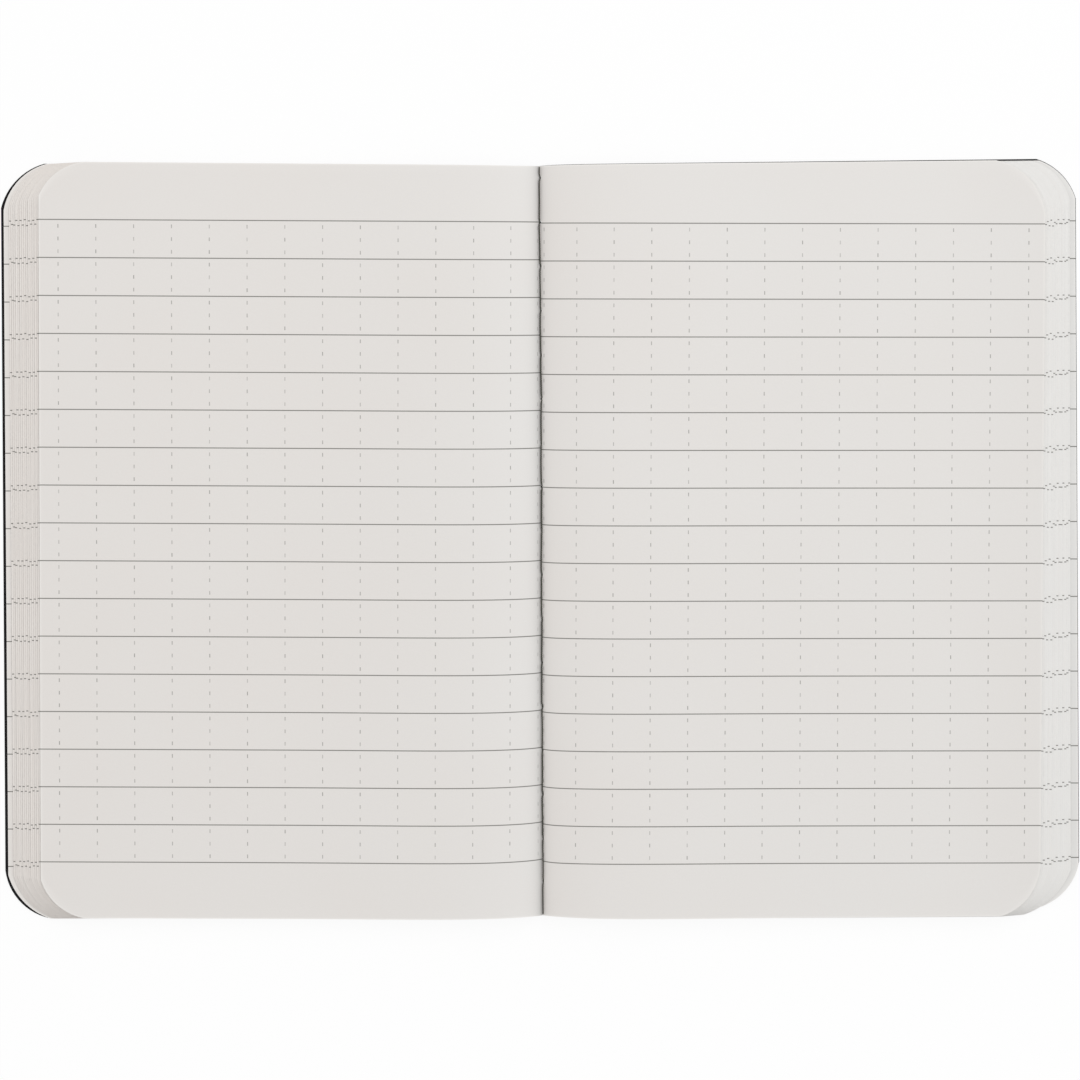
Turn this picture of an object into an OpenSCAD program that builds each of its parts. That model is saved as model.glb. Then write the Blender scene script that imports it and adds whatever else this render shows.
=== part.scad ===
// Pocket notebook with a soft black cover, sewn through its fold, lying open at its middle spread.
// Millimetres. +Z is up from the table, Y runs along the fold towards the head of the page,
// the front half of the book lies on -X and the back half on +X. The origin is on the table under
// the middle of the fold. Each half is drawn outwards from the fold along +X and the front is mirrored.

/* [Page] */
// Height of the trimmed book, head to foot
page_h = 127; // [100:0.5:180]
// Width of each half of the cover, from the fold to its fore-edge
half_w = 90.5; // [70:0.5:130]
// Radius of the die-cut corners
corner_r = 10.4; // [4:0.1:16]
// Angle at which the corner die's arc meets the straight edges
corner_kink = 15.5; // [2:0.5:20]
// Folded sheets in the book, which is also the leaves on each side of the middle
sheet_count = 16; // [6:1:22]
// Height that one leaf takes up away from the fold, paper and the air under it
leaf_t = 0.18; // [0.1:0.01:0.3]
// Height that one leaf takes up where the sewing pulls the stack together
fold_t = 0.11; // [0.08:0.01:0.2]
// How quickly the stack thickens from the fold outwards
gutter_rate = 9; // [3:0.5:14]

/* [Cover] */
// Thickness of the cover card
cover_t = 0.45; // [0.3:0.05:0.9]
// Height that the springy cover arches off the table beside the fold
arch_h = 0.8; // [0.2:0.1:2]
// Width of that arch, after which the cover lies flat on the table
arch_w = 42; // [25:1:55]

/* [Fore-edge] */
// Front half: how far the cover stands out beyond its last leaf
front_cover_peek = 0.4; // [0.1:0.05:1]
// Front half: how far the last leaf stands out beyond the next one
front_last_step = 1; // [0.2:0.05:2]
// Front half: step from each further leaf to the one on top of it
front_creep = 0.35; // [0.1:0.01:0.5]
// Back half: how far the cover stands out beyond its last leaf
back_cover_peek = 0.1; // [0.05:0.05:1]
// Back half: how far the last leaf stands out beyond the next one
back_last_step = 1.45; // [0.2:0.05:2]
// Back half: step from each further leaf to the one on top of it
back_creep = 0.33; // [0.1:0.01:0.5]

/* [Trim] */
// Degrees by which the head, foot and fore-edge were cut out of square with the fold
trim_turn = 0.3; // [0:0.05:1]
// Further degrees by which the back cover's head and foot are out of square with the fold
back_cover_turn = 0.2; // [0:0.05:0.5]
// Distance that the back cover sits higher up the fold than its leaves
back_cover_rise = 0.15; // [0:0.05:0.5]
// Degrees by which the top leaf of the back half leans against the last one
back_fan_turn = 0.6; // [0:0.05:1]

/* [Ruling] */
// Distance between ruled lines
rule_pitch = 6.35; // [4:0.05:10]
// Ruled lines on a page
rule_count = 18; // [8:1:20]
// Width of a ruled line
rule_w = 0.25; // [0.15:0.05:0.6]
// Height of the ink of a ruled line
ink_t = 0.03; // [0.02:0.01:0.1]
// Degrees by which the ruling was printed out of square with the fold
print_turn = 0.5; // [0:0.05:1]

/* [Sewing] */
// Diameter of the thread
thread_d = 0.38; // [0.3:0.02:0.6]
// Distance between needle holes
stitch_pitch = 7.4; // [4:0.1:12]
// Distance of the first needle hole from the head
first_hole = 2.6; // [2:0.1:5]
// Least distance of the last needle hole from the foot
last_hole = 3; // [2:0.1:5]
// Free space round the thread
thread_clear = 0.05; // [0.03:0.01:0.1]
// Width of the slit between the two halves at the fold
fold_gap = 0.2; // [0.1:0.02:0.3]

/* [Hidden] */
cover_black = [0.09, 0.09, 0.1];
paper_white = [0.89, 0.88, 0.86];
ink_grey = [0.6, 0.6, 0.58];
thread_grey = [0.27, 0.27, 0.24];
$fn = 48;

// Straight stretches that stand for the curve beside the fold
bend_steps = 14;
// Room that cutting and crossing solids reach past what they cut
past = 3;
// Depth that the ink reaches into the paper so that the two are one solid
ink_root = 0.05;
// The cover is held off the table at its crease by the outer run of thread
crease_lift = thread_d + 2 * thread_clear;
// The short lengths through the holes are squeezed a little thinner than the runs
pin_r = 0.45 * thread_d;
hole_count = 1 + floor((page_h - first_hole - last_hole) / stitch_pitch);
holes_y = [for (k = [0 : hole_count - 1]) page_h / 2 - first_hole - k * stitch_pitch];
// Height that is more than the whole book's
tall = sheet_count * leaf_t + cover_t + 2 * arch_h + past;

// Height of the cover's underside at distance x from the fold
function arch(x) =
    let (u = min(1, x / arch_w))
    27 / 4 * arch_h * u * pow(1 - u, 2) + crease_lift * pow(1 - u, 2);

// Height that one leaf takes up at distance x from the fold
function pitch(x) = leaf_t - (leaf_t - fold_t) * pow(1 - min(1, x / arch_w), gutter_rate);

// Height of the underside of leaf n, counted up from the cover, at distance x from the fold
function level(n, x) = arch(x) + cover_t + n * pitch(x);

// Distances from the fold, close together beside it where the curve is tight
bend_x = [for (k = [0 : bend_steps]) fold_gap / 2 + (arch_w - fold_gap / 2) * pow(k / bend_steps, 2)];

// Half width of leaf n, counted up from the cover
function leaf_w(n, peek, last_step, creep) =
    half_w - peek - (n > 0 ? last_step : 0) - max(0, n - 1) * creep;

// Degrees by which the fore-edge of leaf n is out of square with the fold
function edge_turn(n, fan_turn) = trim_turn - fan_turn * n / (sheet_count - 1);

// Height of the head (side 1) or the foot (side -1) at distance x from the fold
function trim_y(x, turn, side) = side * page_h / 2 + (x - half_w / 2) * tan(turn);

// Centre of a corner's arc, set so that the arc meets head or foot and fore-edge at a small angle
function corner(w, turn, lean, side) =
    let (
        inset = corner_r * cos(corner_kink),
        rise = trim_y(0, turn, side) - side * inset / cos(turn),
        x = (w - inset / cos(lean) - rise * tan(lean)) / (1 + tan(turn) * tan(lean))
    )
    [x, rise + x * tan(turn)];

// Everything between the head and the foot, which rise outwards by turn degrees
module head_to_foot(turn) {
    tip = half_w + past;
    polygon([
        [0, trim_y(0, turn, -1)],
        [tip, trim_y(tip, turn, -1)],
        [tip, trim_y(tip, turn, 1)],
        [0, trim_y(0, turn, 1)]
    ]);
}

// Everything inside a fore-edge that leans in towards the head by lean degrees, with its
// die-cut corners
module inside_fore_edge(w, turn, lean) {
    reach = page_h;
    difference() {
        polygon([
            [0, -reach],
            [w + reach * tan(lean), -reach],
            [w - reach * tan(lean), reach],
            [0, reach]
        ]);
        for (side = [-1, 1])
            translate(corner(w, turn, lean, side))
                difference() {
                    translate([0, side > 0 ? 0 : -corner_r - past])
                        square(corner_r + past);
                    circle(corner_r);
                }
    }
}

// Trimmed outline of one half of a sheet
module outline(w, turn, lean) {
    intersection() {
        head_to_foot(turn);
        inside_fore_edge(w, turn, lean);
    }
}

// A cross-section in x and z, drawn out along the whole height of the page
module along_fold(section) {
    translate([0, page_h / 2 + past, 0])
        rotate([90, 0, 0])
            linear_extrude(page_h + 2 * past)
                polygon(section);
}

// Round notches in the edge at the fold that let the thread pass
module needle_holes() {
    for (y = holes_y)
        translate([0, y, 0])
            cylinder(h = tall, r = pin_r + thread_clear);
}

// One half of the cover: arched beside the fold, flat on the table beyond, and sewn in
// rise higher up the fold than the leaves
module cover_half(turn, lean, rise) {
    under = [for (x = bend_x) [x, arch(x)]];
    over = [for (k = [bend_steps : -1 : 0]) [bend_x[k], arch(bend_x[k]) + cover_t]];
    tip = half_w + past;
    difference() {
        intersection() {
            along_fold(concat(under, [[tip, 0], [tip, cover_t]], over));
            translate([0, rise, 0])
                linear_extrude(tall)
                    outline(half_w, turn, lean);
        }
        needle_holes();
    }
}

// The leaves of one half: a curved block beside the fold, then one flat slab for each leaf,
// each shorter than the one under it
module leaves_half(peek, last_step, creep, fan_turn) {
    under = [for (x = bend_x) [x, level(0, x)]];
    over = [for (k = [bend_steps : -1 : 0]) [bend_x[k], level(sheet_count, bend_x[k])]];
    difference() {
        intersection() {
            union() {
                along_fold(concat(under, over));
                for (n = [0 : sheet_count - 1])
                    translate([0, 0, level(n, arch_w)])
                        linear_extrude(leaf_t)
                            leaf_slab(leaf_w(n, peek, last_step, creep), edge_turn(n, fan_turn));
            }
            linear_extrude(tall) head_to_foot(trim_turn);
        }
        needle_holes();
    }
}

// One leaf beyond the arch, before its head and foot are trimmed
module leaf_slab(w, lean) {
    difference() {
        inside_fore_edge(w, trim_turn, lean);
        translate([arch_w - half_w, -2 * page_h]) square([half_w, 4 * page_h]);
    }
}

// Ruled lines printed across the top leaf of one half, from the fold to its fore-edge
module ruling_half(w, lean, turn) {
    top = [for (x = bend_x) [x, level(sheet_count, x)]];
    tip = [w + past, level(sheet_count, arch_w)];
    low = concat(top, [tip]);
    high = [for (k = [len(low) - 1 : -1 : 0]) low[k] + [0, ink_t]];
    intersection() {
        along_fold(concat([for (p = low) p - [0, ink_root]], high));
        linear_extrude(tall)
            intersection() {
                outline(w, trim_turn, lean);
                rotate(turn)
                    for (k = [0 : rule_count - 1])
                        translate([0, (k - (rule_count - 1) / 2) * rule_pitch - rule_w / 2])
                            square([half_w, rule_w]);
            }
    }
}

module front_cover() {
    color(cover_black) mirror([1, 0, 0]) cover_half(trim_turn, trim_turn, 0);
}

module back_cover() {
    color(cover_black) cover_half(trim_turn + back_cover_turn, trim_turn, back_cover_rise);
}

module front_leaves() {
    top_w = leaf_w(sheet_count - 1, front_cover_peek, front_last_step, front_creep);
    mirror([1, 0, 0]) {
        color(paper_white) leaves_half(front_cover_peek, front_last_step, front_creep, 0);
        color(ink_grey) ruling_half(top_w, trim_turn, print_turn);
    }
}

module back_leaves() {
    top_w = leaf_w(sheet_count - 1, back_cover_peek, back_last_step, back_creep);
    top_lean = edge_turn(sheet_count - 1, back_fan_turn);
    color(paper_white) leaves_half(back_cover_peek, back_last_step, back_creep, back_fan_turn);
    color(ink_grey) ruling_half(top_w, top_lean, -print_turn);
}

// Two runs of thread along the fold, one in the gutter and one under the crease, joined
// through each needle hole
module sewing_thread() {
    outer_z = thread_clear + thread_d / 2;
    inner_z = level(sheet_count, thread_d / 2) + thread_d / 2 + thread_clear;
    run = page_h - 2 * thread_d;
    color(thread_grey) {
        for (z = [outer_z, inner_z])
            translate([0, run / 2 - half_w / 2 * tan(trim_turn), z])
                rotate([90, 0, 0])
                    cylinder(h = run, d = thread_d);
        for (y = holes_y)
            translate([0, y, outer_z])
                cylinder(h = inner_z - outer_z, r = pin_r);
    }
}

front_cover();
back_cover();
front_leaves();
back_leaves();
sewing_thread();
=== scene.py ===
"""Looks of a pocket notebook lying open at its middle: a black card cover, sixteen ruled sheets folded
into each other and the thread that sews them through the fold.

Lengths are millimetres until a mesh is made of them. x is the distance from the fold, negative on the
front half, y runs along the fold towards the head of the page and z is up from the table. Each piece
spans both halves, as the real sheets do."""

import math
from collections import namedtuple

import bmesh
import bpy
import numpy as np
from mathutils import Matrix, Vector


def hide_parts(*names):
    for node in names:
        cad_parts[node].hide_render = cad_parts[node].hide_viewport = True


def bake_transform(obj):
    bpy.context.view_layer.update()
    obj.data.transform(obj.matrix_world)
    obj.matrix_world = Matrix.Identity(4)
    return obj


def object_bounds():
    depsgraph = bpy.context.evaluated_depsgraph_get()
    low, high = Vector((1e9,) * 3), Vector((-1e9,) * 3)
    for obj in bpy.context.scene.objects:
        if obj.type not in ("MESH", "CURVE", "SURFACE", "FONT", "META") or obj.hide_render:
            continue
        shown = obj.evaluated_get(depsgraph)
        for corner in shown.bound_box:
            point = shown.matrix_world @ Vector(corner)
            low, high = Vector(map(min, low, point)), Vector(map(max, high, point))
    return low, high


MM = 0.001

# The trimmed book
PAGE_H = 127.0
HALF_W = 90.5
SHEETS = 16
LEAF_T = 0.18
FOLD_T = 0.11
GUTTER_RATE = 9
COVER_T = 0.45
ARCH_H = 0.8
ARCH_W = 42.0
# What brings the highest point of u * (1 - u) ** 2 up to 1
ARCH_SCALE = 27 / 4

# A trimmed end: slope of its edge outwards, how far up the page it lies off the nominal trim, and its
# die-cut corner: the arc's radius, and the angles at which it meets this edge and the fore-edge
End = namedtuple("End", "turn rise radius kink side_kink")
# Half of the cover or of a sheet: its width, lean of its fore-edge towards the fold, and its ends
Trim = namedtuple("Trim", "width lean head foot")


def end(turn, rise, radius, kink, side_kink):
    return End(math.radians(turn), rise, radius, math.radians(kink), math.radians(side_kink))


def trim(width, lean, head, foot):
    return Trim(width, math.radians(lean), head, foot)


# Die and knife pushed the stack, so its leaves differ a little. Leaves are counted from the cover's
# last leaf, 0, to the top one, and those between two that are given lie evenly between them.
FRONT_COVER = trim(90.56, 0.2, end(0.5, -0.2, 10.43, 15.9, 14.7), end(0.1, -0.2, 9.46, 11.3, 7.0))
FRONT_LEAVES = {
    0: trim(90.08, 0.17, end(0.43, -0.15, 9.87, 13.9, 10.6), end(0.1, -0.21, 10.83, 18.3, 15.3)),
    1: trim(89.17, 0.17, end(0.43, -0.15, 9.87, 14.0, 13.7), end(0.12, -0.2, 10.63, 17.9, 14.6)),
    15: trim(84.15, 0.35, end(0.68, -0.01, 9.36, 5.0, 22.9), end(0.55, -0.05, 9.43, 10.7, 17.5)),
}
BACK_COVER = trim(90.5, 0.39, end(0.4, 0.01, 10.02, 17.6, 16.4), end(0.3, 0.35, 10.3, 5.8, 12.6))
BACK_LEAVES = {
    0: trim(90.4, 0.39, end(0.3, -0.2, 9.94, 20.3, 17.1), end(0.3, 0.3, 9.75, 1.0, 12.5)),
    1: trim(89.22, 0.19, end(0.3, -0.22, 9.04, 17.3, 13.0), end(0.2, -0.45, 12.63, 17.5, 20.7)),
    14: trim(84.68, -0.3, end(0.3, -0.43, 10.1, 14.0, 5.3), end(0.1, -0.36, 9.6, 16.4, 3.0)),
    15: trim(84.33, -0.34, end(0.33, -0.17, 10.19, 11.0, 4.7), end(0.19, -0.31, 9.34, 16.0, 0.0)),
}
ARC_STEPS = 14
# Folding draws the ends of a sheet in beside the fold: by how much at head and foot, and its reach
HEAD_NIP = 0.14
FOOT_NIP = 0.7
NIP_REACH = 9.0
# Over this distance the two halves of a sheet meet at the fold
MEET_REACH = 1.5

# Sewing
THREAD_D = 0.38
THREAD_CLEAR = 0.05
CREASE_LIFT = THREAD_D + 2 * THREAD_CLEAR
STITCH_PITCH = 7.4
FIRST_HOLE = 2.6
LAST_HOLE = 3.0
# A needle hole lies on the back's side of the fold, and this is its width and half its height
HOLE_W = 0.26
HOLE_R = 0.2

# Paper as it really is, inside the height that each leaf takes up
PAPER_T = 0.105
LEAST_AIR = 0.006
# How far the sewing pulls the innermost sheet down into the fold, and over what distance
PULL = 0.33
PULL_REACH = 0.75
# Over this distance from the fold the leaves come away from lying on one another
PRESSED_REACH = 12.0
# How far the top leaf of each half springs up at its fore-edge, from where and over what distance
SPRING = 0.12
SPRING_FROM = 45.0
SPRING_REACH = 38.0
# The waves in which a leaf rises and falls in the air it has: how much of each, its direction across
# and up the page, its length and how that changes from leaf to leaf, and its turn from leaf to leaf
WAVES = (
    (1.0, 1, 0, 17.0, 1.3, 1.7),
    (1.0, 0, 1, 23.0, -0.6, 2.9),
    (0.6, 1, 1, 11.0, 0.4, 4.1),
)

# Ruling
RULE_PITCH = 6.35
RULES = 18
RULE_W = 0.165
COLUMN_PITCH = 6.32
COLUMNS = 13
DASH_W = 0.15
DASH_L = 0.62
DASHES = 3

# Camera and the photograph's frame
VIEW_FROM = (-5.96, 42.13, 800.0)
VIEW_AT = (-0.176, 0.147, 2.0)
VIEW_ROLL = math.radians(0.2369)
FOCAL_PX = 4750.9
FRAME_PX = 1080
SENSOR_MM = 36.0
# The nearest and the farthest that the camera sees, in metres
CLIP = 0.05, 20

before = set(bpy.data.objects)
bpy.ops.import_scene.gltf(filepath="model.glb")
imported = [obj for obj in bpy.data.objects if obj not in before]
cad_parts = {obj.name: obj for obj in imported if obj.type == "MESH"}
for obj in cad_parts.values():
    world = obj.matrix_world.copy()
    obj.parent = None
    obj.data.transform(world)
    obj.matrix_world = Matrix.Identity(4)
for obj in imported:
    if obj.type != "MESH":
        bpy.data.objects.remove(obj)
cad_low, cad_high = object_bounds()


def smooth(value):
    t = np.clip(value, 0, 1)
    return t * t * (3 - 2 * t)


def arch(d):
    """Height of the cover's underside at distance d from the fold."""
    u = np.minimum(1, d / ARCH_W)
    return ARCH_SCALE * ARCH_H * u * (1 - u) ** 2 + CREASE_LIFT * (1 - u) ** 2


def pitch(d):
    """Height that one leaf takes up at distance d from the fold."""
    return LEAF_T - (LEAF_T - FOLD_T) * (1 - np.minimum(1, d / ARCH_W)) ** GUTTER_RATE


def pull(n, d):
    """How far the thread draws the underside of leaf n down at distance d from the fold."""
    return PULL * n / SHEETS * np.exp(-d / PULL_REACH)


def level(n, d):
    """Height of the underside of leaf n, counted up from the cover, at distance d from the fold."""
    return arch(d) + COVER_T + n * pitch(d) - pull(n, d)


def part_way(first, second, share):
    """Value, or tuple of values, that is share of the way from the first to the second."""
    if isinstance(first, tuple):
        return type(first)(*(part_way(a, b, share) for a, b in zip(first, second)))
    return first + share * (second - first)


def leaf_trim(n, given):
    """Trim of leaf n, between the nearest leaves whose trims are given."""
    if n in given:
        return given[n]
    before, after = max(k for k in given if k < n), min(k for k in given if k > n)
    return part_way(given[before], given[after], (n - before) / (after - before))


def trim_y(d, edge, up):
    """Height on the page of the head (up 1) or the foot (up -1) at distance d from the fold."""
    return up * PAGE_H / 2 + edge.rise + (d - HALF_W / 2) * math.tan(edge.turn)


def corner_arc(half, up):
    """Points of the die-cut corner at the head (up 1) or the foot (up -1), outwards."""
    edge = half.head if up > 0 else half.foot
    inset, side_inset = edge.radius * math.cos(edge.kink), edge.radius * math.cos(edge.side_kink)
    start = trim_y(0, edge, up) - up * inset / math.cos(edge.turn)
    slope, lean = math.tan(edge.turn), math.tan(half.lean)
    x = (half.width - side_inset / math.cos(half.lean) - start * lean) / (1 + slope * lean)
    y = start + x * slope
    first, last = edge.kink - up * edge.turn, math.pi / 2 - edge.side_kink - up * half.lean
    angles = np.linspace(first, last, ARC_STEPS)
    return [(x + edge.radius * math.sin(a), y + up * edge.radius * math.cos(a)) for a in angles]


# Distances from the fold of the mesh's columns in the gutter, the fold itself left out. The print steps
# from one page's to the other's between the fold and the front's first column.
GUTTER = [
    0.04, HOLE_W, 0.45, 0.75, 1.1, 1.5, 2.0, 2.5, 3.0, 3.5, 4.0, 4.6,
    5.4, 6.5, 8.0, 10.0, 12.5, 15.5, 19.0, 23.0, 28.0, 34.0, ARCH_W,
]
FLAT_STEPS = 7
# How far inside head and foot a sheet has one more row
END_ROW = 0.3


def fold_y(front, back, up):
    """Height on the page at which the two halves of a sheet end at the fold."""
    ends = (front.head, back.head) if up > 0 else (front.foot, back.foot)
    nip = HEAD_NIP if up > 0 else FOOT_NIP
    return sum(trim_y(0, edge, up) for edge in ends) / 2 - up * nip


def end_points(half, up, meet_y, fold):
    """Where the mesh's columns start at the foot (up -1) or stop at the head (up 1), outwards."""
    arc = corner_arc(half, up)
    edge, nip = (half.head, HEAD_NIP) if up > 0 else (half.foot, FOOT_NIP)
    flat = np.linspace(ARCH_W, arc[0][0], FLAT_STEPS + 1)[1:-1]
    points = []
    for d in ([0.0] if fold else []) + GUTTER + list(flat):
        meet = (meet_y + up * nip - trim_y(0, edge, up)) * math.exp(-d / MEET_REACH)
        points.append((d, trim_y(d, edge, up) + meet - up * nip * math.exp(-d / NIP_REACH)))
    return points + arc


HOLES_Y = []
while PAGE_H / 2 - FIRST_HOLE - len(HOLES_Y) * STITCH_PITCH >= LAST_HOLE - PAGE_H / 2:
    HOLES_Y.append(PAGE_H / 2 - FIRST_HOLE - len(HOLES_Y) * STITCH_PITCH)


def row_shares(foot, head):
    """Shares of the way from foot to head at which the mesh has its rows, and which of them open a hole."""
    places = [foot, foot + END_ROW, head - END_ROW, head]
    for y in HOLES_Y:
        places += [y - HOLE_R, y + HOLE_R, y - STITCH_PITCH / 2]
    places = sorted(p for p in places if foot <= p <= head)
    opens = [any(math.isclose(p, y - HOLE_R) for y in HOLES_Y) for p in places]
    return [(p - foot) / (head - foot) for p in places], opens


def sheet_grid(front, back):
    """Points of a folded sheet seen from above, one column after another from the front's fore-edge
    to the back's, and which of its cells are needle holes."""
    foot_y, head_y = fold_y(front, back, -1), fold_y(front, back, 1)
    shares, opens = row_shares(foot_y, head_y)
    shares = np.array(shares)[None, :]
    halves = []
    for side, half in ((-1, front), (1, back)):
        foot = np.array(end_points(half, -1, foot_y, side > 0))[:, None, :]
        head = np.array(end_points(half, 1, head_y, side > 0))[:, None, :]
        points = foot + shares[..., None] * (head - foot)
        halves.append(points * (side, 1))
    points = np.concatenate([halves[0][::-1], halves[1]])
    x, y = points[..., 0], points[..., 1]
    holes = np.zeros((x.shape[0] - 1, x.shape[1] - 1), bool)
    beside = len(halves[0])
    holes[beside:beside + 2, :] = np.array(opens[:-1])
    return x, y, holes


def closed_mesh(name, x, y, under, over, holes):
    """A thin closed solid between two heights over one grid, with walls round its edge and its holes."""
    count = x.size
    flat = np.stack([x.ravel(), y.ravel()], 1)
    points = np.concatenate([
        np.column_stack([flat, over.ravel()]),
        np.column_stack([flat, under.ravel()]),
    ])
    index = np.arange(count).reshape(x.shape)
    kept = np.pad(~holes, 1)
    faces = []
    for i in range(x.shape[0] - 1):
        for j in range(x.shape[1] - 1):
            if not kept[i + 1, j + 1]:
                continue
            a, b, c, d = index[i, j], index[i + 1, j], index[i + 1, j + 1], index[i, j + 1]
            faces += [(a, b, c, d), (d + count, c + count, b + count, a + count)]
            walls = (
                (kept[i, j + 1], a, d), (kept[i + 2, j + 1], c, b),
                (kept[i + 1, j], b, a), (kept[i + 1, j + 2], d, c),
            )
            faces += [(p, q, q + count, p + count) for beside, p, q in walls if not beside]
    mesh = bpy.data.meshes.new(name)
    mesh.from_pydata((points * MM).tolist(), [], [tuple(int(v) for v in face) for face in faces])
    return mesh


# Edges that turn by more than this stay sharp, on sheets and card and on the thread's plies
SHEET_SHARP = 40
PLY_SHARP = 60
# The card's edges are rounded by this much, where they turn by more than this angle
CARD_ROUND = 0.06
ROUND_ABOVE = math.radians(60)


def smooth_faces(mesh, sharp_degrees):
    mesh.polygons.foreach_set("use_smooth", [True] * len(mesh.polygons))
    mesh.set_sharp_from_angle(angle=math.radians(sharp_degrees))


def add_piece(mesh, material, replaced):
    piece = bpy.data.objects.new(mesh.name, mesh)
    bpy.context.scene.collection.objects.link(piece)
    mesh.materials.append(material)
    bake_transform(piece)
    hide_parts(*replaced)


def store(mesh, name, kind, values):
    """Keeps values on the mesh's points for its material to read."""
    attribute = mesh.attributes.new(name, kind, "POINT")
    field = "vector" if kind == "FLOAT_VECTOR" else "value"
    attribute.data.foreach_set(field, np.asarray(values, np.float32).ravel())


class Nodes:
    """The node tree of a new material or world, built by short calls. A value is a number, a tuple or a
    node's output."""

    def __init__(self, owner):
        self.owner = owner
        owner.use_nodes = True
        self.tree = owner.node_tree
        self.tree.nodes.clear()

    def add(self, kind, values=None, output=0, **settings):
        node = self.tree.nodes.new(kind)
        for key, value in settings.items():
            setattr(node, key, value)
        for key, value in (values or {}).items():
            if isinstance(value, bpy.types.NodeSocket):
                self.tree.links.new(value, node.inputs[key])
            else:
                node.inputs[key].default_value = value
        return node.outputs[output]

    def math(self, operation, *values):
        return self.add("ShaderNodeMath", dict(enumerate(values)), operation=operation)

    def ramp(self, value, start, end, low=0.0, high=1.0):
        """low where value is under start, high over end, and a smooth step between."""
        given = {"Value": value, "From Min": start, "From Max": end, "To Min": low, "To Max": high}
        return self.add("ShaderNodeMapRange", given, interpolation_type="SMOOTHSTEP")

    def mix(self, share, first, second):
        """Colours mixed by share, from first at 0 to second at 1."""
        return self.add("ShaderNodeMix", {0: share, 6: first, 7: second}, output=2, data_type="RGBA")

    def noise(self, place, scale, detail=2.0, roughness=0.5):
        given = {"Vector": place, "Scale": scale, "Detail": detail, "Roughness": roughness}
        return self.add("ShaderNodeTexNoise", given)

    def stored(self, name, output="Vector"):
        return self.add("ShaderNodeAttribute", output=output, attribute_name=name)

    def seen(self):
        """1 for rays from the camera, off something glossy or through something clear, 0 for others."""
        path = self.tree.nodes.new("ShaderNodeLightPath").outputs
        mirrored = self.math("MAXIMUM", path["Is Glossy Ray"], path["Is Transmission Ray"])
        return self.math("MAXIMUM", path["Is Camera Ray"], mirrored)

    def surface(self, shader, kind="ShaderNodeOutputMaterial"):
        last = self.tree.nodes.new(kind)
        self.tree.links.new(shader, last.inputs["Surface"])
        return self.owner


def srgb(*levels):
    """A colour given as levels from 0 to 255, as a linear RGBA."""
    shares = [value / 255 for value in levels]
    return tuple(s / 12.92 if s <= 0.04045 else ((s + 0.055) / 1.055) ** 2.4 for s in shares) + (1.0,)


# Colours of the paper, its specks and the painted highlight on its trimmed edge, the ink of its lines and
# dashes, card and thread
PAPER_COOL = srgb(230, 229, 227)
PAPER_WARM = srgb(227, 221, 216)
PAPER_SPECK = srgb(205, 200, 192)
PAPER_RIM_HIGHLIGHT = srgb(246, 244, 240)
RULE_INK = srgb(112, 111, 106)
DASH_INK = srgb(128, 127, 122)
CARD_DARK = srgb(9, 9, 10)
CARD_LIGHT = srgb(13, 13, 14)
CARD_GRAIN = srgb(28, 28, 29)
THREAD_DARK = srgb(50, 49, 43)
THREAD_LIGHT = srgb(84, 83, 75)
# How fine the thread's fibres are along a ply and the two ways round it
FIBRE_FINENESS = (1.0, 9.0, 9.0)
# How strongly the ink covers the paper, and how soft its edges are
RULE_COVER = 0.92
DASH_COVER = 0.75
INK_SOFT = 0.035


def near(nodes, value, half_width, soft):
    """1 where value is closer than half_width to a whole number, 0 beyond, with a soft edge."""
    off = nodes.math("ABSOLUTE", nodes.math("SUBTRACT", value, nodes.math("ROUND", value)))
    return nodes.ramp(off, half_width - soft, half_width + soft, 1.0, 0.0)


def between(nodes, value, low, high):
    """1 where value is above low and under high, 0 elsewhere."""
    above = nodes.math("GREATER_THAN", value, low)
    return nodes.math("MULTIPLY", above, nodes.math("LESS_THAN", value, high))


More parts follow.
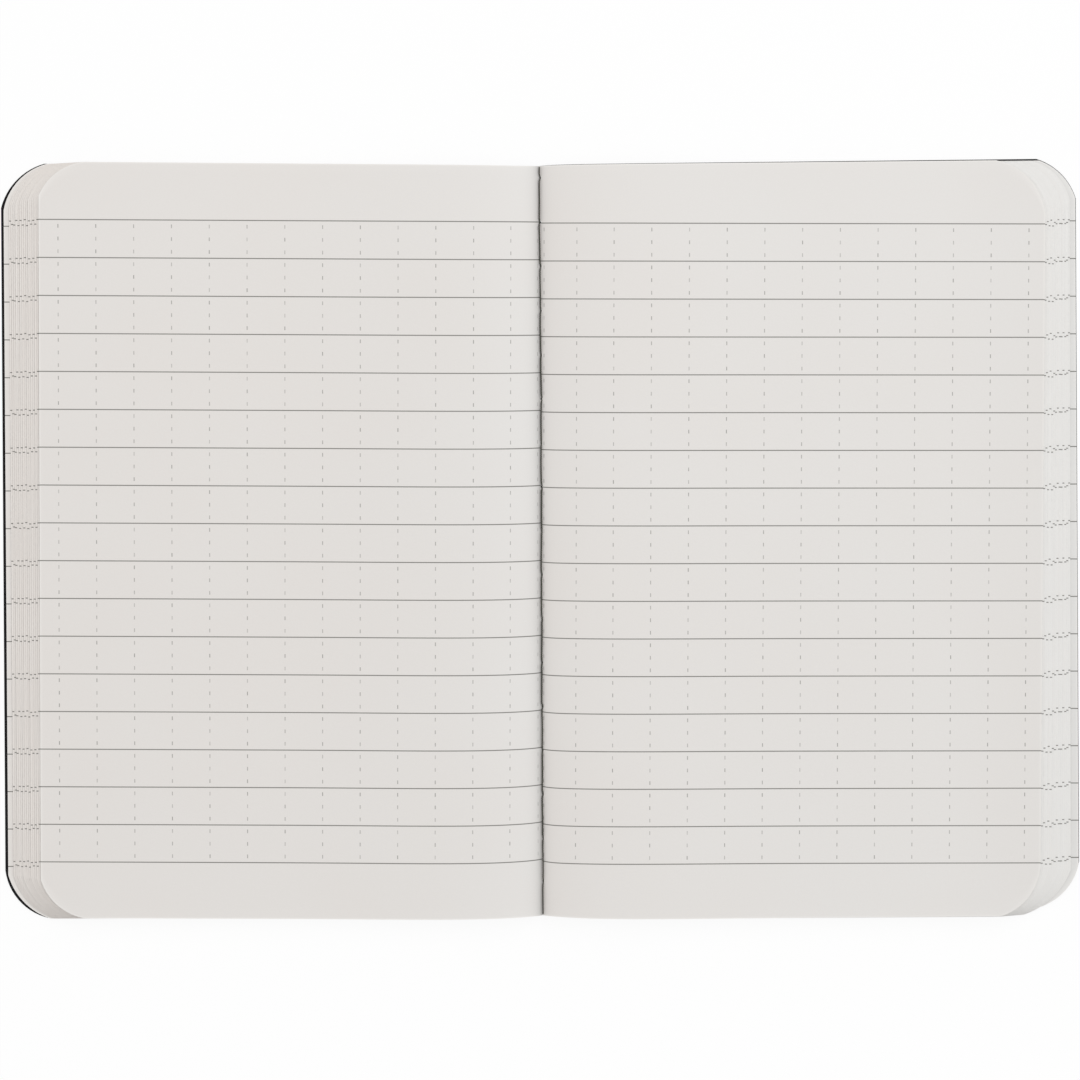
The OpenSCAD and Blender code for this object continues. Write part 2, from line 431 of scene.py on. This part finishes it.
def paper_material():
    """Uncoated off-white paper with grey ruled lines and columns of dashes, drawn in the print's own
    millimetres: u outward from the fold's first column, v up from the middle of the ruling. Painted light
    and shade, and a painted highlight along the trimmed edges, come from the sheet's points."""
    nodes = Nodes(bpy.data.materials.new("ruled_paper"))
    place = nodes.stored("print_mm")
    split = nodes.add("ShaderNodeSeparateXYZ", {0: place}).node
    u, v = split.outputs[0], split.outputs[1]
    line = nodes.math("ADD", nodes.math("DIVIDE", v, RULE_PITCH), (RULES - 1) / 2)
    column = nodes.math("DIVIDE", u, COLUMN_PITCH)

    rules = near(nodes, line, RULE_W / 2 / RULE_PITCH, INK_SOFT / RULE_PITCH)
    rules = nodes.math("MULTIPLY", rules, between(nodes, line, -0.5, RULES - 0.5))

    part = nodes.math("ADD", nodes.math("MULTIPLY", line, DASHES), 0.5)
    along = near(nodes, part, DASH_L / 2 / RULE_PITCH * DASHES, INK_SOFT / RULE_PITCH * DASHES)
    across = near(nodes, column, DASH_W / 2 / COLUMN_PITCH, INK_SOFT / COLUMN_PITCH)
    dashes = nodes.math("MULTIPLY", along, across)
    for value, low, high in ((line, 0.0, RULES - 1), (column, -1.5, COLUMNS - 0.5)):
        dashes = nodes.math("MULTIPLY", dashes, between(nodes, value, low, high))
    weak = nodes.ramp(nodes.noise(place, scale=0.35, detail=1.0), 0.3, 0.7, low=0.55)
    dashes = nodes.math("MULTIPLY", dashes, weak)

    cloud = nodes.noise(place, scale=0.03, detail=3.0, roughness=0.55)
    fibre = nodes.noise(place, scale=3.2, detail=4.0, roughness=0.65)
    warmer = nodes.ramp(cloud, 0.3, 0.7, low=-0.07, high=0.07)
    # The stored warmth is the paper's tint with painted light and shade in it; the cloud is the paper's own
    # random tone
    warmth = nodes.math("ADD", nodes.stored("warmth", "Fac"), warmer)
    paper = nodes.mix(warmth, PAPER_COOL, PAPER_WARM)
    speck = nodes.ramp(fibre, 0.25, 0.75, high=0.06)
    paper = nodes.mix(speck, paper, PAPER_SPECK)
    # Painted highlight along the trimmed edges, where they catch the light
    paper = nodes.mix(nodes.stored("rim", "Fac"), paper, PAPER_RIM_HIGHLIGHT)
    inked = nodes.mix(nodes.math("MULTIPLY", rules, RULE_COVER), paper, RULE_INK)
    inked = nodes.mix(nodes.math("MULTIPLY", dashes, DASH_COVER), inked, DASH_INK)
    # Painted light and shade: the stored shading scales the whole colour, ink as well
    inked = nodes.add("ShaderNodeVectorMath", {0: inked, 3: nodes.stored("shade", "Fac")}, operation="SCALE")

    grain = nodes.add("ShaderNodeBump", {"Strength": 0.12, "Distance": 0.00006, "Height": fibre})
    shader = nodes.add("ShaderNodeBsdfPrincipled", {
        "Base Color": inked,
        "Roughness": nodes.ramp(fibre, 0.2, 0.8, low=0.78, high=0.92),
        "Specular IOR Level": 0.25,
        "Normal": grain,
    })
    return nodes.surface(shader)


def card_material():
    """Black card, dyed through, with a fine matt grain."""
    nodes = Nodes(bpy.data.materials.new("black_card"))
    place = nodes.stored("print_mm")
    grain = nodes.noise(place, scale=4.5, detail=4.0, roughness=0.6)
    cloud = nodes.noise(place, scale=0.12, detail=3.0)
    colour = nodes.mix(nodes.ramp(cloud, 0.3, 0.7), CARD_DARK, CARD_LIGHT)
    colour = nodes.mix(nodes.ramp(grain, 0.55, 0.8, high=0.3), colour, CARD_GRAIN)
    bump = nodes.add("ShaderNodeBump", {"Strength": 0.3, "Distance": 0.00008, "Height": grain})
    shader = nodes.add("ShaderNodeBsdfPrincipled", {
        "Base Color": colour,
        "Roughness": nodes.ramp(grain, 0.2, 0.8, low=0.52, high=0.75),
        "Specular IOR Level": 0.15,
        "Normal": bump,
    })
    return nodes.surface(shader)


def thread_material():
    """Dark olive-grey sewing thread; its fibres run along each ply."""
    nodes = Nodes(bpy.data.materials.new("dark_thread"))
    place = nodes.stored("ply_mm")
    stretched = nodes.add("ShaderNodeVectorMath", {0: place, 1: FIBRE_FINENESS}, operation="MULTIPLY")
    fibre = nodes.noise(stretched, scale=2.2, detail=3.0, roughness=0.6)
    colour = nodes.mix(nodes.ramp(fibre, 0.3, 0.7), THREAD_DARK, THREAD_LIGHT)
    bump = nodes.add("ShaderNodeBump", {"Strength": 0.4, "Distance": 0.00003, "Height": fibre})
    shader = nodes.add("ShaderNodeBsdfPrincipled", {
        "Base Color": colour,
        "Roughness": nodes.ramp(fibre, 0.2, 0.8, low=0.6, high=0.85),
        "Specular IOR Level": 0.3,
        "Sheen Weight": 0.2,
        "Normal": bump,
    })
    return nodes.surface(shader)


# Where the ruling sits on each page: slope of its lines and how that slope changes up the page, height
# of its middle, the paper's distance from the fold to the first column of dashes, how much closer its
# lines are, and the paper hidden where the page turns down into the fold, with its reach. There the
# lines also drift towards the head, by these sizes and reaches at the foot and not at all at free.
Ruling = namedtuple("Ruling", "slope splay middle first closer hidden reach drift free")
FRONT_RULING = Ruling(
    slope=math.radians(-0.535), splay=0.0, middle=-0.472, first=7.68, closer=1.0,
    hidden=2.6, reach=1.5, drift=((0.68, 7.0), (0.05, 1.0)), free=55.0,
)
BACK_RULING = Ruling(
    slope=math.radians(-0.237), splay=math.radians(-0.12), middle=-0.575, first=7.0, closer=1.0012,
    hidden=1.25, reach=2.6, drift=((0.22, 9.0), (0.24, 1.2)), free=42.0,
)
COLUMN_LEAN = math.tan(math.radians(0.37))
DRIFT_Y = -54.5
# The paper's grain is looked up this much further on for each sheet, so that no two are alike
NEXT_PAPER = 40.0


def print_place(x, y, shift):
    """The print's own millimetres for points of a page: outward and up."""
    front = x < 0
    ruling = FRONT_RULING if front else BACK_RULING
    slope = math.tan(ruling.slope + ruling.splay * y / (PAGE_H / 2))
    d, side = abs(x), -1 if front else 1
    paper = d + ruling.hidden * (1 - math.exp(-d / ruling.reach))
    drift = sum(size * math.exp(-d / reach) for size, reach in ruling.drift)
    drift *= max(0.0, ruling.free - y) / (ruling.free - DRIFT_Y)
    across = paper - side * y * COLUMN_LEAN - ruling.first
    return across, ruling.closer * (y - slope * x - ruling.middle - shift - drift)


# How far up the page the ruling of each leaf was printed off the top leaf's, from the last leaf to
# the top one. Sheets run through the press both ways up, so every other leaf is off alike.
FRONT_REGISTER = (
    -1.15, -0.28, -0.85, -0.95, -0.18, -1.05, -0.18, -0.95,
    -0.05, -1.05, -0.25, -0.8, -0.17, -0.8, -0.03, 0.0,
)
BACK_REGISTER = (
    0.57, 0.75, 0.3, 0.1, 0.76, 0.08, 0.1, 0.75, 0.05, 0.27, -0.33, 0.65, -0.3, 0.4, -0.1, 0.0,
)


def edge_distance(x, y):
    """Distance of each point of a grid from the nearest edge of its sheet, good near the edge."""
    from_ends = np.minimum(y - y[:, :1], y[:, -1:] - y)
    from_sides = np.minimum(np.abs(x - x[:1, :]), np.abs(x[-1:, :] - x))
    slope = np.abs(np.gradient(y[:, -1], x[:, -1]))[:, None]
    return np.minimum(from_ends / np.sqrt(1 + slope**2), from_sides)


# Colour of each leaf's face: warmth from 0 to 1, which is the paper's own tint with painted light and shade
# in how it differs from face to face; painted shading as a share of its full brightness, which makes the
# same paper lighter or darker from leaf to leaf and half to half; and the painted highlight where its
# trimmed edge catches the light
Face = namedtuple("Face", "warmth shade rim")
FRONT_FACES = Face(0.65, 0.99, 0.45), Face(0.9, 1.025, 0.12), Face(0.58, 1.0, 0.55)
BACK_FACES = Face(0.0, 0.935, 0.6), Face(0.04, 1.02, 0.08), Face(0.38, 0.995, 0.5)
RIM_HIGHLIGHT_W = 0.33
# Painted light and shade on the top leaves: cooler and lighter beside the fold on the front, warmer and
# darker beside it on the back, and painted shade darkening the back's fore-edge
FOLD_PAINTED_LIGHT_SHADE = -0.36, 0.25
FOLD_PAINTED_REACH = 14.0
OUTER_PAINTED_SHADE = 0.018
OUTER_FROM = 65.0
OUTER_REACH = 18.0
# Painted shade in the crease pressed into the innermost sheet: how much darker it makes the front and the
# back
PAINTED_CREASE_SHADES = 0.4, 0.08
PAINTED_CREASE_REACH = 0.75


def face_values(n, x, y):
    """Warmth with painted light and shade in it, painted shading and painted edge highlight of sheet n at
    the points of its grid.
    """
    which = 0 if n == 0 else 2 if n == SHEETS - 1 else 1
    front, back = FRONT_FACES[which], BACK_FACES[which]
    ahead = x < 0
    # Warmth that differs between the two halves of one paper is painted light and shade
    warmth = np.where(ahead, front.warmth, back.warmth)
    # Painted shading of each face: the same paper is made lighter or darker here than elsewhere
    shade = np.where(ahead, front.shade, back.shade)
    if n == SHEETS - 1:
        d = np.abs(x)
        # Painted shade in the crease beside the thread
        shade = shade * (1 - np.where(ahead, *PAINTED_CREASE_SHADES) * np.exp(-d / PAINTED_CREASE_REACH))
        # Painted shade towards the back's fore-edge
        outer = smooth((d - OUTER_FROM) / OUTER_REACH)
        shade = shade * (1 - np.where(ahead, 0, OUTER_PAINTED_SHADE) * outer)
        # Painted light beside the fold on the front, painted shade beside it on the back
        warmth = warmth + np.where(ahead, *FOLD_PAINTED_LIGHT_SHADE) * np.exp(-d / FOLD_PAINTED_REACH)
    # Painted highlight, fading inward from the sheet's edge
    rim = np.where(ahead, front.rim, back.rim) * np.clip(1 - edge_distance(x, y) / RIM_HIGHLIGHT_W, 0, 1)
    return warmth, shade, rim


def slack(n, x, y):
    """Share of the air above it that leaf n takes up, rising and falling gently over the page."""
    wave = sum(
        size * np.sin((across * x + up * y) / (length + growth * n) + turn * n)
        for size, across, up, length, growth, turn in WAVES
    )
    return 0.5 + 0.5 * wave / sum(size for size, *_ in WAVES)


def make_sheet(n, material):
    """Folded sheet n, counted up from the cover: a leaf of the front half and one of the back."""
    x, y, holes = sheet_grid(leaf_trim(n, FRONT_LEAVES), leaf_trim(n, BACK_LEAVES))
    d = np.abs(x)
    room = level(n + 1, d) - level(n, d)
    thick = np.minimum(PAPER_T, room - LEAST_AIR)
    under = level(n, d) + (room - thick) * slack(n, x, y) * smooth(d / PRESSED_REACH)
    if n == SHEETS - 1:
        under = under + SPRING * smooth((d - SPRING_FROM) / SPRING_REACH) ** 2
    mesh = closed_mesh(f"sheet_{n + 1:02d}", x, y, under, under + thick, holes)
    printed = []
    for px, py in zip(x.ravel(), y.ravel()):
        shift = FRONT_REGISTER[n] if px < 0 else BACK_REGISTER[n]
        printed.append((*print_place(px, py, shift), NEXT_PAPER * n))
    store(mesh, "print_mm", "FLOAT_VECTOR", printed * 2)
    # The warmth, the painted shading and the painted edge highlight go to the paper material
    for name, values in zip(("warmth", "shade", "rim"), face_values(n, x, y)):
        store(mesh, name, "FLOAT", np.tile(values.ravel(), 2))
    smooth_faces(mesh, SHEET_SHARP)
    add_piece(mesh, material, ("front_leaves", "back_leaves"))


def make_cover(material):
    """The cover: one sheet of card, arched beside the fold and flat on the table beyond."""
    x, y, holes = sheet_grid(FRONT_COVER, BACK_COVER)
    d = np.abs(x)
    mesh = closed_mesh("cover", x, y, arch(d), arch(d) + COVER_T, holes)
    flat = np.column_stack([x.ravel(), y.ravel(), 0 * d.ravel()])
    store(mesh, "print_mm", "FLOAT_VECTOR", np.tile(flat, (2, 1)))
    soften(mesh, CARD_ROUND)
    smooth_faces(mesh, SHEET_SHARP)
    add_piece(mesh, material, ("front_cover", "back_cover"))


def soften(mesh, width):
    """Rounds the sharp edges of a mesh a little."""
    shape = bmesh.new()
    shape.from_mesh(mesh)
    edges = [e for e in shape.edges if len(e.link_faces) == 2 and e.calc_face_angle() > ROUND_ABOVE]
    bmesh.ops.bevel(
        shape, geom=edges, offset=width * MM, segments=2, profile=0.6, affect="EDGES", clamp_overlap=True,
    )
    shape.to_mesh(mesh)
    shape.free()


# The thread's plies, and the places along it where its rings stand
PLIES = 3
PLY_SIDES = 6
TWIST_PITCH = 1.15
RING_GAP = 0.12
# How full the thread is, as a share of its diameter: in the gutter, with how much and in what wave that
# changes from stitch to stitch and how much less it is at the ends and at a hole, under the crease and
# in a hole. A wave is its step from one stitch or hole to the next, and its start.
INNER_GIRTH = 0.77
GIRTH_CHANGE = 0.05
GIRTH_WAVE = 1.9, 0.6
END_TIGHT = 0.1
HOLE_TIGHT = 0.1
OUTER_GIRTH = 0.95
PASS_GIRTH = 0.8

# The run in the gutter lies a little to the front at the head and to the back at the foot, and
# kinks to the back where it passes through a hole
RUN_TURN = -0.0014
RUN_BOW = 0.12
RUN_BOW_Y = 22.0
RUN_BOW_REACH = 27.0
KINK = 0.1125
KINK_CHANGE = 0.0675
KINK_WAVE = 2.6, 1.9
KINK_REACH = 0.4
# Both runs wander sideways in two waves: how far, the length and the start of each
WANDER = (0.03, 3.1, 0.0), (0.02, 1.27, 1.0)
INNER_DIP = 0.3
OUTER_DIP = -0.12
RUN_ENDS = 62.7, -63.0


def uneven(k, wave):
    """A number from -1 to 1 for stitch or hole k. No two in a row are alike."""
    step, start = wave
    return math.sin(step * k + start)


def at_hole(y):
    """1 at a needle hole and 0 between holes."""
    nearest = min(abs(y - hole) for hole in HOLES_Y)
    return math.exp(-((nearest / KINK_REACH) ** 2))


def hole_kink(y):
    """Sideways step of the inner run at the needle hole nearest to y."""
    k = min(range(len(HOLES_Y)), key=lambda i: abs(y - HOLES_Y[i]))
    return KINK + KINK_CHANGE * uneven(k, KINK_WAVE)


def run_girth(y):
    """How full the inner run is at a height on the page."""
    k = math.floor((PAGE_H / 2 - FIRST_HOLE - y) / STITCH_PITCH)
    tight = END_TIGHT * (2 * y / PAGE_H) ** 2 + HOLE_TIGHT * at_hole(y)
    return INNER_GIRTH + GIRTH_CHANGE * uneven(k, GIRTH_WAVE) - tight


def run_aside(y):
    """How far to the back the inner run lies at a height on the page, its kinks left out."""
    return RUN_TURN * y + RUN_BOW * math.exp(-(((y - RUN_BOW_Y) / RUN_BOW_REACH) ** 2))


def run_points(base_z, dip, inner):
    """Centreline of one run of thread along the fold, from head to foot. It dips at each hole."""
    head, foot = RUN_ENDS
    count = int((head - foot) / RING_GAP)
    points = []
    for i in range(count + 1):
        y = head + (foot - head) * i / count
        hole = at_hole(y)
        wander = sum(size * math.sin(y / length + start) for size, length, start in WANDER)
        aside = run_aside(y) + hole_kink(y) * hole if inner else 0.0
        points.append(Vector((wander + aside, y, base_z - dip * hole)))
    return points


def ply_rings(points, ply, girth):
    """Rings of one ply that winds round the line through points, with how far along each one is.
    girth gives the thread's fullness at a height on the page."""
    full_ply = THREAD_D / 2 / (1 + 2 / math.sqrt(3))
    rings, travelled = [], 0.0
    for i, point in enumerate(points):
        ahead, behind = points[min(i + 1, len(points) - 1)], points[max(i - 1, 0)]
        along = (ahead - behind).normalized()
        side = along.cross(Vector((1, 0, 0))).normalized()
        other = along.cross(side)
        if i:
            travelled += (point - points[i - 1]).length
        turn = 2 * math.pi * (travelled / TWIST_PITCH + ply / PLIES)
        ply_r = full_ply * girth(point.y)
        wind_r = THREAD_D / 2 * girth(point.y) - ply_r
        centre = point + wind_r * (math.cos(turn) * side + math.sin(turn) * other)
        ring = []
        for k in range(PLY_SIDES):
            angle = 2 * math.pi * k / PLY_SIDES
            ring.append(centre + ply_r * (math.cos(angle) * side + math.sin(angle) * other))
        rings.append((ring, travelled))
    return rings


def add_ply(vertices, faces, places, rings):
    """Adds a closed tube through the rings to the lists."""
    start = len(vertices)
    for number, (ring, travelled) in enumerate(rings):
        for k, point in enumerate(ring):
            vertices.append(point * MM)
            places.append((travelled, k / PLY_SIDES, 0.0))
        if number:
            low = start + (number - 1) * PLY_SIDES
            for k in range(PLY_SIDES):
                after = (k + 1) % PLY_SIDES
                faces.append((low + k, low + after, low + PLY_SIDES + after, low + PLY_SIDES + k))
    faces.append(tuple(reversed(range(start, start + PLY_SIDES))))
    last = start + (len(rings) - 1) * PLY_SIDES
    faces.append(tuple(range(last, last + PLY_SIDES)))


def pass_points(y, low, high):
    """Centreline of the thread where it passes up through the needle hole at a height on the page."""
    steps = int((high - low) / RING_GAP)
    aside = run_aside(y) + hole_kink(y)
    return [
        Vector((part_way(HOLE_W / 2, aside, i / steps), y, part_way(low, high, i / steps)))
        for i in range(steps + 1)
    ]


def make_thread(material):
    """Two runs of three-ply thread, in the gutter and under the crease, and its passes through the holes."""
    outer_z = THREAD_CLEAR + THREAD_D / 2
    inner_z = level(SHEETS, THREAD_D / 2) + THREAD_D / 2 + THREAD_CLEAR
    inner, outer = run_points(inner_z, INNER_DIP, True), run_points(outer_z, OUTER_DIP, False)
    low, high = outer_z - OUTER_DIP, inner_z - INNER_DIP
    lines = [(inner, run_girth), (outer, lambda y: OUTER_GIRTH)]
    lines += [(pass_points(y, low, high), lambda y: PASS_GIRTH) for y in HOLES_Y]
    vertices, faces, places = [], [], []
    for line, girth in lines:
        for ply in range(PLIES):
            add_ply(vertices, faces, places, ply_rings(line, ply, girth))
    mesh = bpy.data.meshes.new("sewing_thread_plies")
    mesh.from_pydata([tuple(v) for v in vertices], [], faces)
    store(mesh, "ply_mm", "FLOAT_VECTOR", places)
    shape = bmesh.new()
    shape.from_mesh(mesh)
    bmesh.ops.recalc_face_normals(shape, faces=shape.faces)
    shape.to_mesh(mesh)
    shape.free()
    smooth_faces(mesh, PLY_SHARP)
    add_piece(mesh, material, ("sewing_thread",))


# The floor's grey, what share of it the camera sees as plain white, and in metres half its width and
# how far it lies under the book
FLOOR_GREY = 0.93
FLOOR_WHITE = 0.92
FLOOR_HALF_W = 3.0
FLOOR_DROP = 0.00002


def make_floor():
    """A plain pale floor. The camera sees it mostly as white, and it keeps part of the shadow."""
    nodes = Nodes(bpy.data.materials.new("pale_floor"))
    matt = nodes.add("ShaderNodeBsdfDiffuse", {"Color": (FLOOR_GREY, FLOOR_GREY, FLOOR_GREY, 1)})
    white = nodes.add("ShaderNodeEmission", {"Color": (1, 1, 1, 1), "Strength": 1.0})
    share = nodes.math("MULTIPLY", nodes.seen(), FLOOR_WHITE)
    surface = nodes.add("ShaderNodeMixShader", {0: share, 1: matt, 2: white})
    mesh = bpy.data.meshes.new("floor")
    corners = [(FLOOR_HALF_W * x, FLOOR_HALF_W * y, 0) for x, y in ((-1, -1), (1, -1), (1, 1), (-1, 1))]
    mesh.from_pydata(corners, [], [(0, 1, 2, 3)])
    mesh.materials.append(nodes.surface(surface))
    floor = bpy.data.objects.new("floor", mesh)
    floor.location.z = cad_low.z - FLOOR_DROP
    bpy.context.scene.collection.objects.link(floor)


# Strength of the light from all round, that of the broad lamp at the book, and the lamp's direction,
# and its distance and width in metres
SKY_STRENGTH = 0.67
KEY_STRENGTH = 1.46
KEY_TOWARDS = (0.3, 0.55, 0.85)
KEY_AWAY = 1.2
KEY_W = 1.1


def make_world():
    """Soft daylight from all round, seen as plain white."""
    nodes = Nodes(bpy.data.worlds.new("studio"))
    given = {"Value": nodes.seen(), "To Min": SKY_STRENGTH, "To Max": 1.0}
    strength = nodes.add("ShaderNodeMapRange", given)
    sky = nodes.add("ShaderNodeBackground", {"Color": (1, 1, 1, 1), "Strength": strength})
    bpy.context.scene.world = nodes.surface(sky, "ShaderNodeOutputWorld")


def make_lamp():
    """One broad lamp from the head side, a little to the right."""
    towards = Vector(KEY_TOWARDS).normalized()
    lamp = bpy.data.lights.new("key", "AREA")
    lamp.shape = "DISK"
    lamp.size = KEY_W
    lamp.energy = KEY_STRENGTH * math.pi * KEY_AWAY**2
    key = bpy.data.objects.new("key", lamp)
    key.location = towards * KEY_AWAY
    key.rotation_mode = "QUATERNION"
    key.rotation_quaternion = towards.to_track_quat("Z", "Y")
    bpy.context.scene.collection.objects.link(key)


def make_camera():
    """The photograph's view: from straight above, a little towards the head."""
    data = bpy.data.cameras.new("view")
    data.sensor_fit = "HORIZONTAL"
    data.sensor_width = SENSOR_MM
    data.lens = FOCAL_PX / FRAME_PX * SENSOR_MM
    data.clip_start, data.clip_end = CLIP
    camera = bpy.data.objects.new("view", data)
    place, aim = Vector(VIEW_FROM) * MM, Vector(VIEW_AT) * MM
    forward = (aim - place).normalized()
    upward = Vector((math.sin(VIEW_ROLL), math.cos(VIEW_ROLL), 0))
    right = forward.cross(upward).normalized()
    axes = Matrix((right, right.cross(forward), -forward)).transposed()
    camera.matrix_world = Matrix.Translation(place) @ axes.to_4x4()
    bpy.context.scene.collection.objects.link(camera)
    bpy.context.scene.camera = camera


bpy.context.scene.view_settings.view_transform = "Standard"
make_camera()
make_world()
make_lamp()
make_floor()
paper = paper_material()
for number in range(SHEETS):
    make_sheet(number, paper)
make_cover(card_material())
make_thread(thread_material())
